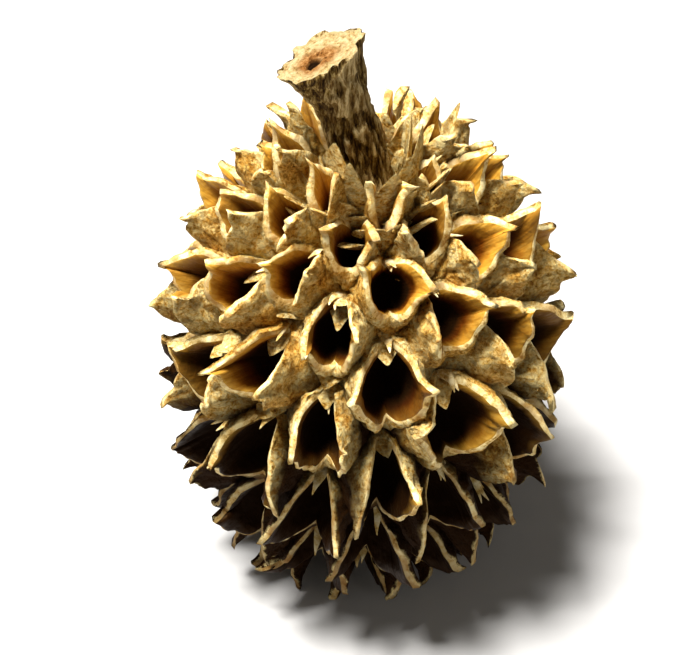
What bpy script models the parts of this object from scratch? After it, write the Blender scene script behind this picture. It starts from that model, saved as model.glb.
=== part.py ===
"""A casuarina cone: the woody head with its whorls of open, two-valved fruits, and the short stalk it grew on.

Metres, +Z up. The origin is the middle of the small flat spot on the apex that the cone stands on.
"""

import math
import random

import bmesh
import bpy
from mathutils import Vector

MM = 0.001

# The head stands between two ellipses: the fruits root on the inner one and their beaks reach the outer one.
CORE_RADIUS = 10.0 * MM
CORE_HALF_HEIGHT = 16.2 * MM
BEAK_RADIUS = 15.4 * MM
BEAK_HALF_HEIGHT = 21.6 * MM
MID_HEIGHT = 17.4 * MM
# The stalk half is this much wider than the middle, and the apex half as much narrower.
TAPER = 0.04

# Fruits sit in alternating whorls, closer together towards both ends of the head.
# Each whorl is turned a little further than half a step.
FRUITS_PER_WHORL = 8
WHORLS = 9
WHORL_STEP = math.radians(13.5)
WHORL_CROWDING = math.radians(0.042)
TWIST = math.radians(1.5)
SEED = 7

# The diamond round each fruit has three lattice steps from its centre to each corner.
STEPS = 3
TURN_STEP = math.pi / (FRUITS_PER_WHORL * STEPS)
LATTICE_TURN = 2 * FRUITS_PER_WHORL * STEPS
DIAMOND = [(3, 0), (2, 1), (1, 2), (0, 3), (-1, 2), (-2, 1), (-3, 0), (-2, -1), (-1, -2), (0, -3), (1, -2), (2, -1)]

# One valve's edge from the notch on the apex side, over the beak, to the notch on the stalk side.
# Each point is across and along the diamond, in halves of it, and how far out, where 1 is the outer ellipse.
VALVE_EDGE = [(0, -0.68, 0.26), (0.22, -0.58, 0.60), (0.43, -0.24, 0.86), (0.50, 0.08, 1.0),
              (0.36, 0.31, 0.76), (0.20, 0.50, 0.56), (0, 0.62, 0.30)]
VALVE_BELLY = [(0, -0.84, 0.12), (0.33, -0.58, 0.26), (0.60, -0.28, 0.42), (0.71, 0.02, 0.48),
               (0.54, 0.34, 0.38), (0.30, 0.58, 0.24), (0, 0.80, 0.12)]
WALL = 0.75 * MM
LIP_DROP = 0.05
MID_VALVE = 0.6
# Inside the valves: the cup is widest a little below their edges, and the pit's floor lies below the bracts.
CUP = (0.50, 0.46)
CUP_REACH = 0.10
CUP_RISE = 0.28
PIT = (0.36, 0.40)
PIT_REACH = -0.14

# No two fruits open alike: how far they gape, how long each beak is, and how far a fruit sits off its place.
GAPES = (0.93, 1.05)
BEAK_LENGTHS = (0.92, 1.05)
SHIFTS = (-0.04, 0.04)

# The tooth of a bract stands at each corner where four fruits meet, and leans towards the apex.
TOOTH_REACH = 0.42
TOOTH_LEAN = 0.25

# Closed scales crowd round the stalk and round the apex: how long they are, by whorl.
SCALES = {WHORLS: 3.8 * MM, WHORLS + 1: 3.0 * MM, -1: 1.8 * MM}
SCALE_LENGTHS = (0.85, 1.1)
SCALE_LEAN = 0.45
SCALE_BELLY = 0.35
SCALE_NARROWING = 0.25

# The collar that carries the stalk, and the nub at the apex that the cone stands on.
COLLAR_RADIUS = 2.6 * MM
COLLAR_HEIGHT = MID_HEIGHT + 16.1 * MM
NUB_RADIUS = 3.7 * MM
NUB_HEIGHT = 1.6 * MM
FOOT_RADIUS = 3.2 * MM

# The stalk bends to the left and swells into a flared end, cut square to the bend.
STALK_GAP = 0.3 * MM
STALK_LENGTH = 11.0 * MM
STALK_LEAN = 2.9 * MM
STALK_SIDES = 18
STALK_RINGS = 18
STALK_RADIUS = 1.95 * MM
STALK_BEND = 1.6
STALK_FOOT = 0.35 * MM
FOOT_FADE = 6
CUT_FLARE = 0.95 * MM
FLARE_START = 0.6
CUT_TILT = math.tan(math.radians(24))
TILT_FADE = 2.5
BARK_RELIEF = 0.16 * MM


def around(distance, height, azimuth):
    return Vector((distance * math.cos(azimuth), distance * math.sin(azimuth), height))


def lattice_angles(p, q):
    """Latitude and azimuth of lattice point (p, q): p counts up the head and q round it."""
    whorl = p / STEPS
    from_middle = whorl - 0.5 * (WHORLS - 1)
    latitude = from_middle * WHORL_STEP - from_middle ** 3 * WHORL_CROWDING
    return latitude, q * TURN_STEP + whorl * TWIST


def place_on_head(p, q, reach):
    """The point over lattice point (p, q): on the inner ellipse at reach 0, on the outer one at reach 1."""
    latitude, azimuth = lattice_angles(p, q)
    radius = CORE_RADIUS + reach * (BEAK_RADIUS - CORE_RADIUS)
    half_height = CORE_HALF_HEIGHT + reach * (BEAK_HALF_HEIGHT - CORE_HALF_HEIGHT)
    widening = 1 + TAPER * math.sin(latitude)
    return around(radius * widening * math.cos(latitude), MID_HEIGHT + half_height * math.sin(latitude), azimuth)


def lattice_point(p, q):
    """A point on the woody body between the fruits. Where four fruits meet it is raised as a bract's tooth."""
    azimuth = lattice_angles(p, q)[1]
    if p >= STEPS * (WHORLS + 1):
        return around(COLLAR_RADIUS, COLLAR_HEIGHT, azimuth)
    if p <= -STEPS:
        return around(NUB_RADIUS, NUB_HEIGHT, azimuth)
    corner = p % STEPS == 0 and (q - p) % (2 * STEPS) == STEPS
    if corner:
        return place_on_head(p - TOOTH_LEAN, q, TOOTH_REACH)
    return place_on_head(p, q, 0)


def all_round(valve):
    """A list of points all round a fruit from a list for its right valve, starting at the right-hand beak."""
    left = [(-across, along, reach) for across, along, reach in reversed(valve[1:-1])]
    ring = valve + left
    start = len(valve) // 2
    return ring[start:] + ring[:start]


def fruit_rings(p, q, chance):
    """The rings of one fruit: its bulging outside, the valves' edges outside and inside, its cup and its pit."""
    gape = chance.uniform(*GAPES)
    beaks = (chance.uniform(*BEAK_LENGTHS), chance.uniform(*BEAK_LENGTHS))
    shift = chance.uniform(*SHIFTS)
    half_width = STEPS * TURN_STEP * place_on_head(p, q, 1).xy.length
    half_height = 0.5 * (place_on_head(p + STEPS, q, MID_VALVE) - place_on_head(p - STEPS, q, MID_VALVE)).length
    narrower = 1 - WALL / (VALVE_EDGE[3][0] * half_width)
    lower = 1 - WALL / (-VALVE_EDGE[0][1] * half_height)

    belly = []
    edge = []
    lip = []
    cup = []
    pit = []
    for across, along, reach in all_round(VALVE_BELLY):
        belly.append(place_on_head(p + STEPS * along, q + STEPS * across, reach))
    for i, (across, along, reach) in enumerate(all_round(VALVE_EDGE)):
        reach *= beaks[0] if across > 0 else beaks[1]
        across *= gape
        along += shift
        edge.append(place_on_head(p + STEPS * along, q + STEPS * across, reach))
        inner = (p + STEPS * along * lower, q + STEPS * across * narrower)
        lip.append(place_on_head(*inner, reach - LIP_DROP))
        angle = 2 * math.pi * i / len(DIAMOND)
        c = STEPS * math.cos(angle)
        s = STEPS * math.sin(angle)
        cup.append(place_on_head(p + CUP[1] * s, q + CUP[0] * c, CUP_REACH + CUP_RISE * abs(math.cos(angle))))
        pit.append(place_on_head(p + PIT[1] * s, q + PIT[0] * c, PIT_REACH))
    return belly, edge, lip, cup, pit


def add_ring(bm, points):
    return [bm.verts.new(point) for point in points]


def bridge(bm, lower, upper):
    """A band of quads between two rings with as many points, and the upper ring for the next band."""
    for i in range(len(lower)):
        j = (i + 1) % len(lower)
        bm.faces.new((lower[i], lower[j], upper[j], upper[i]))
    return upper


def add_scale(bm, ring, p, q, length, chance):
    """A closed scale: the diamond drawn together into a belly, and from there to a tip that leans off the axis."""
    middle = sum((v.co for v in ring), Vector()) / len(ring)
    outward = (place_on_head(p, q, 1) - place_on_head(p, q, 0)).normalized()
    off_axis = Vector((outward.x, outward.y, 0)).normalized()
    length *= chance.uniform(*SCALE_LENGTHS)
    belly = [v.co.lerp(middle, SCALE_NARROWING) + outward * SCALE_BELLY * length for v in ring]
    ring = bridge(bm, ring, add_ring(bm, belly))
    tip = bm.verts.new(middle + (outward + off_axis * SCALE_LEAN) * length)
    for i in range(len(ring)):
        bm.faces.new((ring[i], ring[(i + 1) % len(ring)], tip))


def open_edge(bm, top):
    """The ring of points where the lattice is still open, at the collar or at the nub."""
    verts = {v for edge in bm.edges if edge.is_boundary for v in edge.verts if (v.co.z > MID_HEIGHT) == top}
    return sorted(verts, key=lambda v: math.atan2(v.co.y, v.co.x))


def make_head(material):
    chance = random.Random(SEED)
    bm = bmesh.new()
    shared = {}

    def shared_vert(p, q):
        key = (p, q % LATTICE_TURN)
        if key not in shared:
            shared[key] = bm.verts.new(lattice_point(p, q))
        return shared[key]

    for whorl in range(-1, WHORLS + 2):
        for place in range(FRUITS_PER_WHORL):
            p = STEPS * whorl
            q = 2 * STEPS * place + STEPS * whorl
            ring = [shared_vert(p + dp, q + dq) for dq, dp in DIAMOND]
            if whorl in SCALES:
                add_scale(bm, ring, p, q, SCALES[whorl], chance)
                continue
            for points in fruit_rings(p, q, chance):
                ring = bridge(bm, ring, add_ring(bm, points))
            bm.faces.new(ring)

    bm.faces.new(open_edge(bm, top=True))
    nub = open_edge(bm, top=False)
    foot = [around(FOOT_RADIUS, 0, math.atan2(v.co.y, v.co.x)) for v in nub]
    bm.faces.new(bridge(bm, nub, add_ring(bm, foot)))
    return finish("cone", bm, material)


def make_stalk(material):
    """Rings of bark along a leaning curve. The foot and the cut end are wider than the shaft."""
    chance = random.Random(SEED)
    bm = bmesh.new()
    base = COLLAR_HEIGHT + STALK_GAP
    ring = None
    for level in range(STALK_RINGS + 1):
        along = level / STALK_RINGS
        middle = Vector((-STALK_LEAN * along ** STALK_BEND, 0, base + STALK_LENGTH * along))
        flare = max(0.0, (along - FLARE_START) / (1 - FLARE_START)) ** 2
        radius = STALK_RADIUS + STALK_FOOT * (1 - along) ** FOOT_FADE + CUT_FLARE * flare
        points = []
        for side in range(STALK_SIDES):
            angle = 2 * math.pi * side / STALK_SIDES
            rough = BARK_RELIEF * chance.uniform(-1, 1) if 0 < level < STALK_RINGS else 0
            flat = around(radius + rough, 0, angle)
            rise = flat.x * CUT_TILT * along ** TILT_FADE
            points.append(middle + flat + Vector((0, 0, rise)))
        fresh = add_ring(bm, points)
        if ring:
            bridge(bm, ring, fresh)
        else:
            bm.faces.new(fresh[::-1])
        ring = fresh
    bm.faces.new(ring)
    obj = finish("stem", bm, material)
    obj.data.shade_smooth()
    obj.data.set_sharp_from_angle(angle=math.radians(50))
    return obj


def finish(name, bm, material):
    bmesh.ops.triangulate(bm, faces=bm.faces, quad_method="SHORT_EDGE", ngon_method="BEAUTY")
    bmesh.ops.recalc_face_normals(bm, faces=bm.faces)
    mesh = bpy.data.meshes.new(name)
    bm.to_mesh(mesh)
    bm.free()
    mesh.materials.append(material)
    obj = bpy.data.objects.new(name, mesh)
    bpy.context.scene.collection.objects.link(obj)
    return obj


def make_material(name, colour, roughness):
    material = bpy.data.materials.new(name)
    material.use_nodes = True
    shader = material.node_tree.nodes["Principled BSDF"]
    shader.inputs["Base Color"].default_value = (*colour, 1)
    shader.inputs["Roughness"].default_value = roughness
    shader.inputs["Metallic"].default_value = 0
    return material


def main():
    for obj in list(bpy.data.objects):
        bpy.data.objects.remove(obj)
    make_head(make_material("woody bracts", (0.36, 0.22, 0.08), 0.8))
    make_stalk(make_material("stalk bark", (0.20, 0.13, 0.06), 0.9))


main()
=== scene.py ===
# %% [markdown]
# A casuarina cone is a woody seed head. Its surface is made of small fruits in whorls, and each ripe fruit
# has opened into two valves like a beak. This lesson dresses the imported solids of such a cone. The solids
# give the size and the place of everything, so the first step loads them and keeps their box to compare with
# later.

# %% Load the frame
import math
import random

import bmesh
import bpy
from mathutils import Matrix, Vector, noise


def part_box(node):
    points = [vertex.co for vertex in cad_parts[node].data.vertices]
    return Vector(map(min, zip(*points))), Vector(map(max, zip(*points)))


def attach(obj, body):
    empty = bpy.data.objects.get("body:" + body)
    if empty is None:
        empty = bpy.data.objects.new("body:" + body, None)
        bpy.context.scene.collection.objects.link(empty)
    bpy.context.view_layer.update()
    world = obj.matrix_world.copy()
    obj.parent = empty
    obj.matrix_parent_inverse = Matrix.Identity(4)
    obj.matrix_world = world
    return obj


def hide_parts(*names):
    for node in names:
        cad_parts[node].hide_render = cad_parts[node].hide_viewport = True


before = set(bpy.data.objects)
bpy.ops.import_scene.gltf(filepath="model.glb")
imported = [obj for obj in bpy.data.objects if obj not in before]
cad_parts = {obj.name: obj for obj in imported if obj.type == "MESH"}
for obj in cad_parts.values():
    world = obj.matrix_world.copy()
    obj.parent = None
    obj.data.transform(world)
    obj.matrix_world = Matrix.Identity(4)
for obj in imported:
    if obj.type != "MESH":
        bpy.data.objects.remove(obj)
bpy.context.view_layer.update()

MM = 0.001
HEAD_HALF_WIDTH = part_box("cone")[1].x
STALK_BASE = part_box("stem")[0].z


# %% [markdown]
# The fruits sit on a lattice. p counts up the head and q counts round it, with three steps from a fruit's
# centre to the corner of its diamond. A third number, reach, goes outwards: it is 0 on the inner ellipse,
# where the fruits root, and 1 on the outer one, which their beaks touch. Each fruit keeps to its own
# diamond but for its lumps and bends, so neighbours hardly cut each other, however much they vary.

# %% The lattice of the head
# These are the driving sizes of the solids too, so every fruit lies where its solid has it.
CORE_RADIUS = 10.0 * MM
CORE_HALF_HEIGHT = 16.2 * MM
BEAK_RADIUS = 15.4 * MM
BEAK_HALF_HEIGHT = 21.6 * MM
MID_HEIGHT = 17.4 * MM
TAPER = 0.04
FRUITS_PER_WHORL = 8
WHORLS = 9
WHORL_STEP = math.radians(13.5)
WHORL_CROWDING = math.radians(0.042)
TWIST = math.radians(1.5)
STEPS = 3
TURN_STEP = math.pi / (FRUITS_PER_WHORL * STEPS)
# The lattice stops here, a little short of both poles, where the rows would close up.
HIGHEST_P = STEPS * (WHORLS + 1) + 2.2
LOWEST_P = -STEPS - 1.5
# How far growth pushes the rows about, in lattice steps, and over what distance that changes.
DRIFT = 0.45
DRIFT_SIZE = 7.0 * MM
SEED = 7
noise.seed_set(SEED)     # noise_vector takes its offsets from this seed, so every run gives the same cone


def on_ellipses(p, q, reach):
    """The point over lattice place (p, q), at that reach between the two ellipses."""
    whorl = min(max(p, LOWEST_P), HIGHEST_P) / STEPS
    from_middle = whorl - 0.5 * (WHORLS - 1)
    latitude = from_middle * WHORL_STEP - from_middle ** 3 * WHORL_CROWDING
    azimuth = q * TURN_STEP + whorl * TWIST
    radius = CORE_RADIUS + reach * (BEAK_RADIUS - CORE_RADIUS)
    radius *= (1 + TAPER * math.sin(latitude)) * math.cos(latitude)
    half_height = CORE_HALF_HEIGHT + reach * (BEAK_HALF_HEIGHT - CORE_HALF_HEIGHT)
    return Vector((radius * math.cos(azimuth), radius * math.sin(azimuth),
                   MID_HEIGHT + half_height * math.sin(latitude)))


def on_head(p, q, reach):
    """The same, with the lattice itself pushed about a little, as growth does, so that no row is straight."""
    drift = noise.noise_vector(on_ellipses(p, q, 0) / DRIFT_SIZE) * DRIFT
    return on_ellipses(p + drift.x, q + drift.y, reach)


widest = max(on_head(0.5 * STEPS * (WHORLS - 1), q, 1).xy.length for q in range(6))
print("beaks reach", round(widest / MM, 2), "mm from the axis; the solid's half width is",
      round(HEAD_HALF_WIDTH / MM, 2), "mm")

# %% [markdown]
# One fruit is a single skin: up the corky outside, over the thin edge of its two valves, and down the smooth
# inside to the pit where the seed lay. It is easiest to draw as a stack of rings. Each ring is a closed loop
# round the fruit, from the notch on the apex side over the right-hand beak to the notch on the stalk side,
# and back over the left-hand beak. Each ring is a small formula, so that beak and notches can be sharp.

# %% The rings of a fruit
SIDES = 72
ROOT_REACH = -0.27
WEDGE_WIDTH = 0.42
EDGE_WIDTH = 0.42
HOOK = 0.11
HOOK_SHARPNESS = 7
SHOULDER_SHARE = 0.70
BEAK_SHARPNESS = 4.5
# These come in twos: on the apex side of the mouth, and on its stalk side.
EDGE_ROUNDNESS = (1.15, 0.85)
NOTCH_REACH = (0.31, 0.09)
NOTCH_BEND = (1.45, 1.25)


def valve_parameters(i):
    """For point i of a ring: which valve, how near the beak (0 to 1), and from notch to notch (-1 to 1)."""
    turn = 2 * math.pi * i / SIDES
    side = 1 if math.cos(turn) >= 0 else -1
    to_notch = math.asin(max(-1, min(1, math.sin(turn)))) / (0.5 * math.pi)
    return side, 1 - abs(to_notch), to_notch


def lens(i, width, below, above, power=1.1, middle=0.0, wedge=0.0):
    """Across and along for a lens-shaped ring: its half width, and its half heights on both sides.

    A wedge pushes the apex-side notch towards the middle, so that the two valves stand out as two lobes.
    """
    side, near, to_notch = valve_parameters(i)
    across = side * width * math.sin(near * 0.5 * math.pi) ** power
    swing = abs(math.sin(to_notch * 0.5 * math.pi)) ** power
    along = (above if to_notch > 0 else -below) * swing + middle * near
    if to_notch < 0:
        along += wedge * max(0.0, 1 - near / WEDGE_WIDTH) ** 1.5
    return across, along


def diamond(i, size):
    """Across and along for a ring that follows the fruit's diamond."""
    side, near, to_notch = valve_parameters(i)
    return side * near * size, to_notch * size


def edge(i, inward=0.0):
    """The valve's edge: a waist, then a small hook at the beak that turns away from the mouth."""
    side, near, to_notch = valve_parameters(i)
    roundness = EDGE_ROUNDNESS[0] if to_notch < 0 else EDGE_ROUNDNESS[1]
    hook = HOOK * near ** HOOK_SHARPNESS
    width = EDGE_WIDTH * math.sin(min(1, near * 1.1) * 0.5 * math.pi) ** roundness + hook - inward * near
    _, along = lens(i, 1.0, 0.79, 0.80, 1.15, middle=0.06, wedge=0.20)
    return side * width, (along - hook) * (1 - inward)


def edge_reach(i):
    """How far out the valve's edge is: low at the notches, lowest towards the stalk, then up to the beak."""
    _, near, to_notch = valve_parameters(i)
    notch, bend = (pair[0] if to_notch < 0 else pair[1] for pair in (NOTCH_REACH, NOTCH_BEND))
    shoulder = math.sin(min(1, near * 1.22) * 0.5 * math.pi) ** bend
    return notch + (1 - notch) * (SHOULDER_SHARE * shoulder + (1 - SHOULDER_SHARE) * near ** BEAK_SHARPNESS)


def rising(i, to_apex, to_stalk, beak):
    """A reach that is low at the two notches and high below the beaks."""
    _, near, to_notch = valve_parameters(i)
    low = to_apex if to_notch < 0 else to_stalk
    return low + (beak - low) * math.sin(near * 0.5 * math.pi)


# From the root over the edge to the floor of the pit, every ring gives across, along and reach.
# Across and along are in halves of the fruit's diamond.
KEY_RINGS = [
    lambda i: (*diamond(i, 1.0), ROOT_REACH),
    lambda i: (*diamond(i, 1.0), 0.0),
    lambda i: (*diamond(i, 0.95), rising(i, 0.07, 0.02, 0.08)),
    lambda i: (*lens(i, 0.71, 0.89, 0.92), rising(i, 0.14, 0.04, 0.25)),
    lambda i: (*lens(i, 0.57, 0.86, 0.88, 1.1, 0.03, 0.05), rising(i, 0.20, 0.06, 0.50)),
    lambda i: (*lens(i, 0.48, 0.82, 0.84, 1.1, 0.05, 0.12), edge_reach(i) - 0.15 * valve_parameters(i)[1]),
    lambda i: (*edge(i), edge_reach(i)),
    lambda i: (*edge(i, 0.02), edge_reach(i) - 0.015),
    lambda i: (*lens(i, 0.42, 0.71, 0.73, 1.1, 0.04, 0.18), edge_reach(i) - 0.17),
    lambda i: (*lens(i, 0.48, 0.61, 0.64, 1.0, 0.0, 0.15), rising(i, 0.02, -0.12, 0.38)),
    lambda i: (*lens(i, 0.40, 0.46, 0.48, 0.9, 0.0, 0.09), rising(i, -0.12, -0.17, 0.0)),
    lambda i: (*lens(i, 0.12, 0.12, 0.12, 1.0), -0.22),
]
ROOT, SEAM, FOOT, BELLY, WAIST, SHOULDER, EDGE, LIP, UNDER_LIP, CUP, PIT, FLOOR = range(12)
STEPS_BETWEEN = [1, 2, 3, 4, 4, 3, 1, 3, 4, 3, 2]
print(len(KEY_RINGS), "key rings,", sum(STEPS_BETWEEN) + 1, "rings in all,", SIDES, "points round")

# %% [markdown]
# Between the key rings the surface follows a smooth curve through them. This is a Catmull-Rom curve. The
# edge and the lip are close together and must stay sharp, so the curve starts anew there.

# %% Smooth curves between the key rings
def catmull_rom(before, start, end, after, t):
    """The point a part t of the way from start to end, on the smooth curve through all four."""
    return tuple(0.5 * (2 * b + (c - a) * t + (2 * a - 5 * b + 4 * c - d) * t * t
                        + (3 * b - a - 3 * c + d) * t ** 3)
                 for a, b, c, d in zip(before, start, end, after))


def ring_parameters(i, key, t):
    """Across, along and reach for point i, a part t of the way from one key ring to the next."""
    here, there = KEY_RINGS[key](i), KEY_RINGS[min(key + 1, FLOOR)](i)
    sharp_start = key in (ROOT, SEAM, EDGE, LIP)
    sharp_end = key + 1 in (SEAM, EDGE, LIP, FLOOR)
    before = here if sharp_start else KEY_RINGS[key - 1](i)
    after = there if sharp_end else KEY_RINGS[key + 2](i)
    return catmull_rom(before, here, there, after, t)


RING_LIST = [(key, step / steps) for key, steps in enumerate(STEPS_BETWEEN) for step in range(steps)]
RING_LIST.append((FLOOR, 0))
SHAPE = [[ring_parameters(i, key, t) if key < FLOOR else KEY_RINGS[FLOOR](i) for i in range(SIDES)]
         for key, t in RING_LIST]
EDGE_LEVEL = RING_LIST.index((EDGE, 0.0))
LIP_LEVEL = RING_LIST.index((LIP, 0.0))
print("edge is ring", EDGE_LEVEL, "of", len(RING_LIST))

# %% [markdown]
# The mesh of a fruit is made once, as a template. It starts as a circle, and its open edge is extruded once
# for every ring. Each point remembers its place in layers of its own: which ring it is in and where it is
# round it. The same layers later tell the materials what is outside, what is edge and what is deep in the
# pit.

# %% The template of a fruit
OUTSIDE, RIM, INSIDE = range(3)


def extruded(bm, edges):
    """Extrudes a loop of edges, and returns the new loop, the new points and the new faces."""
    made = bmesh.ops.extrude_edge_only(bm, edges=edges)["geom"]
    verts = [g for g in made if isinstance(g, bmesh.types.BMVert)]
    faces = [g for g in made if isinstance(g, bmesh.types.BMFace)]
    loop = [g for g in made if isinstance(g, bmesh.types.BMEdge) and all(v in verts for v in g.verts)]
    return loop, verts, faces


def fruit_template():
    """One fruit, closed at its root and at the floor of its pit, with its faces turned outwards."""
    bm = bmesh.new()
    level_of = bm.verts.layers.int.new("level")
    around_of = bm.verts.layers.int.new("around")
    uv = bm.loops.layers.uv.new("UVMap")
    bmesh.ops.create_circle(bm, segments=SIDES, radius=1)
    ring = sorted(bm.verts, key=lambda v: math.atan2(v.co.y, v.co.x) % (2 * math.pi))
    for i, v in enumerate(ring):
        v[around_of] = i
    edges = list(bm.edges)
    for level in range(1, len(RING_LIST)):
        edges, verts, faces = extruded(bm, edges)
        for v in verts:
            v[level_of] = level
        for f in faces:
            f.material_index = OUTSIDE if level <= EDGE_LEVEL else RIM if level <= LIP_LEVEL else INSIDE
    bmesh.ops.contextual_create(bm, geom=edges, mat_nr=INSIDE)
    bmesh.ops.contextual_create(bm, geom=[e for e in bm.edges if e.is_boundary])
    for v in bm.verts:
        v.co = Vector(SHAPE[v[level_of]][v[around_of]])
    bmesh.ops.recalc_face_normals(bm, faces=bm.faces)
    for f in bm.faces:
        f.smooth = True
        wraps = {v[around_of] for v in f.verts} >= {0, SIDES - 1} and len(f.verts) == 4
        for loop in f.loops:
            i = loop.vert[around_of]
            loop[uv].uv = ((SIDES if wraps and i == 0 else i) / SIDES, loop.vert[level_of] / len(RING_LIST))
    mesh = bpy.data.meshes.new("fruit_template")
    bm.to_mesh(mesh)
    bm.free()
    return mesh


TEMPLATE = fruit_template()
print("template:", len(TEMPLATE.vertices), "points,", len(TEMPLATE.polygons), "faces")

# %% [markdown]
# No two fruits opened alike. Random draws, from a fixed seed so that every run is the same, widen or narrow
# each mouth, lengthen each beak and shift the fruit a little. Each valve then gets a bend and a wavy edge of
# its own. The outside is wrinkled lengthwise and crumbly, and the inside stays smooth.

# %% How fruits differ
GAPES = (0.93, 1.05)
BEAK_LENGTHS = (0.92, 1.05)
SHIFTS = (-0.04, 0.04)
GAPE_GAIN = 4.0
WIDER_AT_ENDS = 0.30
TURNED = 0.45
BEND_ALONG = 0.56
BEND_ASIDE = 0.14
TIP_CURL = 0.55
CURL_ASIDE = 0.4
TIP_SHARPNESS = 6
WAVE = 0.10
WAVES_ROUND = 2.3
FINE_WAVE = 0.4
WAVE_ASIDE = 0.6
FINE_WAVES_ROUND = 6.0
WRINKLES_ROUND = 3.4
WRINKLE_DEPTH = 0.07
FINE_WRINKLES = 0.45
LUMP_SIZE = 1.3 * MM
LUMP_HEIGHT = 0.22 * MM
CRUMB_SIZE = 0.5 * MM
CRUMB_HEIGHT = 0.16 * MM
SMOOTH_SHARE = 0.25     # how lumpy the inside is, where the outside is 1
EDGE_CRUMBS = 0.3
WALL = 0.27 * MM
MOUTH_SHARE = 0.45     # half a mouth's width, where half the fruit's is 1
PIT_DEPTH = 0.17
RIM_RINGS = 1.6
NOTCH_WEAR = 0.45
LOWEST_WOOD = 0.15 * MM
OUTER_RINGS = (SEAM, FOOT, BELLY, WAIST, SHOULDER)


def wobble(point, size, height):
    """A push of about that height, which changes over that size."""
    return noise.noise_vector(point / size) * height


def ridge(point):
    """Sharp crests of height 1, with round valleys between."""
    return 1 - 2 * abs(noise.noise(point))


# %% [markdown]
# To place a fruit, every point of the template is moved. Its own shape comes first: how wide the mouth
# gapes, how the valves bend and their tips curl, the waves of the edges and the wrinkles outside. Then the
# lattice gives the point its place on the head, and the last step roughens it. Each use of the noise looks
# at another place in it, so that bends, curls and waves don't agree. Three layers are kept for the
# materials: how near the edge a point is, how deep in the pit, and a tint that belongs to the whole fruit.

# %% Place a fruit
def add_fruit(bm, p, q, gape, beaks, shift, openness=1.0, size=1.0):
    """Adds a copy of the template to bm and moves each of its points onto the head."""
    first = len(bm.verts)
    bm.from_mesh(TEMPLATE)
    bm.verts.ensure_lookup_table()
    level_of, around_of = bm.verts.layers.int["level"], bm.verts.layers.int["around"]
    rim_of, depth_of = bm.verts.layers.float["rim"], bm.verts.layers.float["depth"]
    tint_of = bm.verts.layers.float["tint"]
    half_width = max(STEPS * TURN_STEP * on_head(p, q, 1).xy.length, MM)
    thinner = 1 - WALL / (MOUTH_SHARE * half_width)
    own = Vector((0.61 * p, 0.37 * q, 0))
    tint = noise.noise(own + Vector((0, 0, 0.5)))
    bends = {side: noise.noise_vector(own + Vector((3.3 * side, 0, 0))) for side in (1, -1)}
    curls = {side: noise.noise_vector(own * 2.9 + Vector((0, 0, 4.1 * side))) * TIP_CURL for side in (1, -1)}
    mouth = 1 + (gape * openness - 1) * (GAPE_GAIN if openness == 1 else 1)
    mouth += WIDER_AT_ENDS * min(1.0, abs(2 * p / (STEPS * WHORLS) - 1))
    for v in bm.verts[first:]:
        level, i = v[level_of], v[around_of]
        across, along, reach = SHAPE[level][i]
        side, near, _ = valve_parameters(i)
        key, _ = RING_LIST[level]
        turn = 2 * math.pi * i / SIDES
        circle = Vector((math.cos(turn), math.sin(turn), 0))
        if key >= LIP:
            across, along = across * thinner, along * thinner
        open_part = min(1.0, max(0.0, reach))
        across *= 1 + (mouth - 1) * open_part
        if reach > 0:
            reach *= (beaks[0] if side > 0 else beaks[1]) * size
        turned = TURNED * tint * open_part
        across, along = across - along * turned, along + across * turned

        bend = bends[side] * open_part ** 2 * near
        curl = curls[side] * near ** TIP_SHARPNESS * open_part
        along += shift * open_part + BEND_ALONG * bend.x
        across += side * BEND_ASIDE * bend.y
        reach += BEND_ASIDE * bend.z
        along += curl.x
        across += CURL_ASIDE * curl.y
        wave = noise.noise_vector(circle * WAVES_ROUND + own * 1.7)
        wave += FINE_WAVE * noise.noise_vector(circle * FINE_WAVES_ROUND + own)
        across += WAVE * WAVE_ASIDE * wave.x * open_part
        along += WAVE * wave.y * open_part
        reach += WAVE * wave.z * open_part
        outside = 1.0 if key in OUTER_RINGS else 0.0
        wrinkle = ridge(circle * WRINKLES_ROUND + Vector((0, 0, 1.6 * reach)) + own)
        wrinkle += FINE_WRINKLES * ridge(circle * 2.1 * WRINKLES_ROUND + Vector((0, 0, 3.5 * reach)) + own)
        stretch = 1 + WRINKLE_DEPTH * wrinkle * outside

        place = on_head(p + STEPS * along * stretch, q + STEPS * across * stretch, reach)
        rough = 1.0 if SEAM <= key <= EDGE else SMOOTH_SHARE
        place += wobble(place, LUMP_SIZE, LUMP_HEIGHT * rough)
        place += wobble(place, CRUMB_SIZE, CRUMB_HEIGHT * (rough if key < SHOULDER else EDGE_CRUMBS * rough))
        place.z = max(place.z, LOWEST_WOOD)
        v.co = place
        top = SHAPE[EDGE_LEVEL][i][2]
        worn = NOTCH_WEAR + (1 - NOTCH_WEAR) * near
        v[rim_of] = max(0.0, 1 - abs(level - EDGE_LEVEL) / RIM_RINGS) * worn
        v[depth_of] = max(0.0, min(1.0, (top - SHAPE[level][i][2]) / (top + PIT_DEPTH)))
        v[tint_of] = tint


def new_fruit_bmesh():
    """An empty bmesh with the layers that the fruits fill."""
    bm = bmesh.new()
    for name in ("level", "around"):
        bm.verts.layers.int.new(name)
    for name in ("rim", "depth", "tint"):
        bm.verts.layers.float.new(name)
    bm.loops.layers.uv.new("UVMap")
    return bm


# %% [markdown]
# The materials come next, because each piece takes them as it is made. The colours are written as sRGB hex
# values, as a colour picker shows them, and one function turns them into the linear values that a shader
# needs. A second small function adds a node with its settings and its links, so that a material reads as a
# list.

# %% Helpers for materials
def colour(hex_value):
    """A linear colour from an sRGB hex value."""
    channels = [int(hex_value[i:i + 2], 16) / 255 for i in (1, 3, 5)]
    return (*[c / 12.92 if c <= 0.04045 else ((c + 0.055) / 1.055) ** 2.4 for c in channels], 1)


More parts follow.
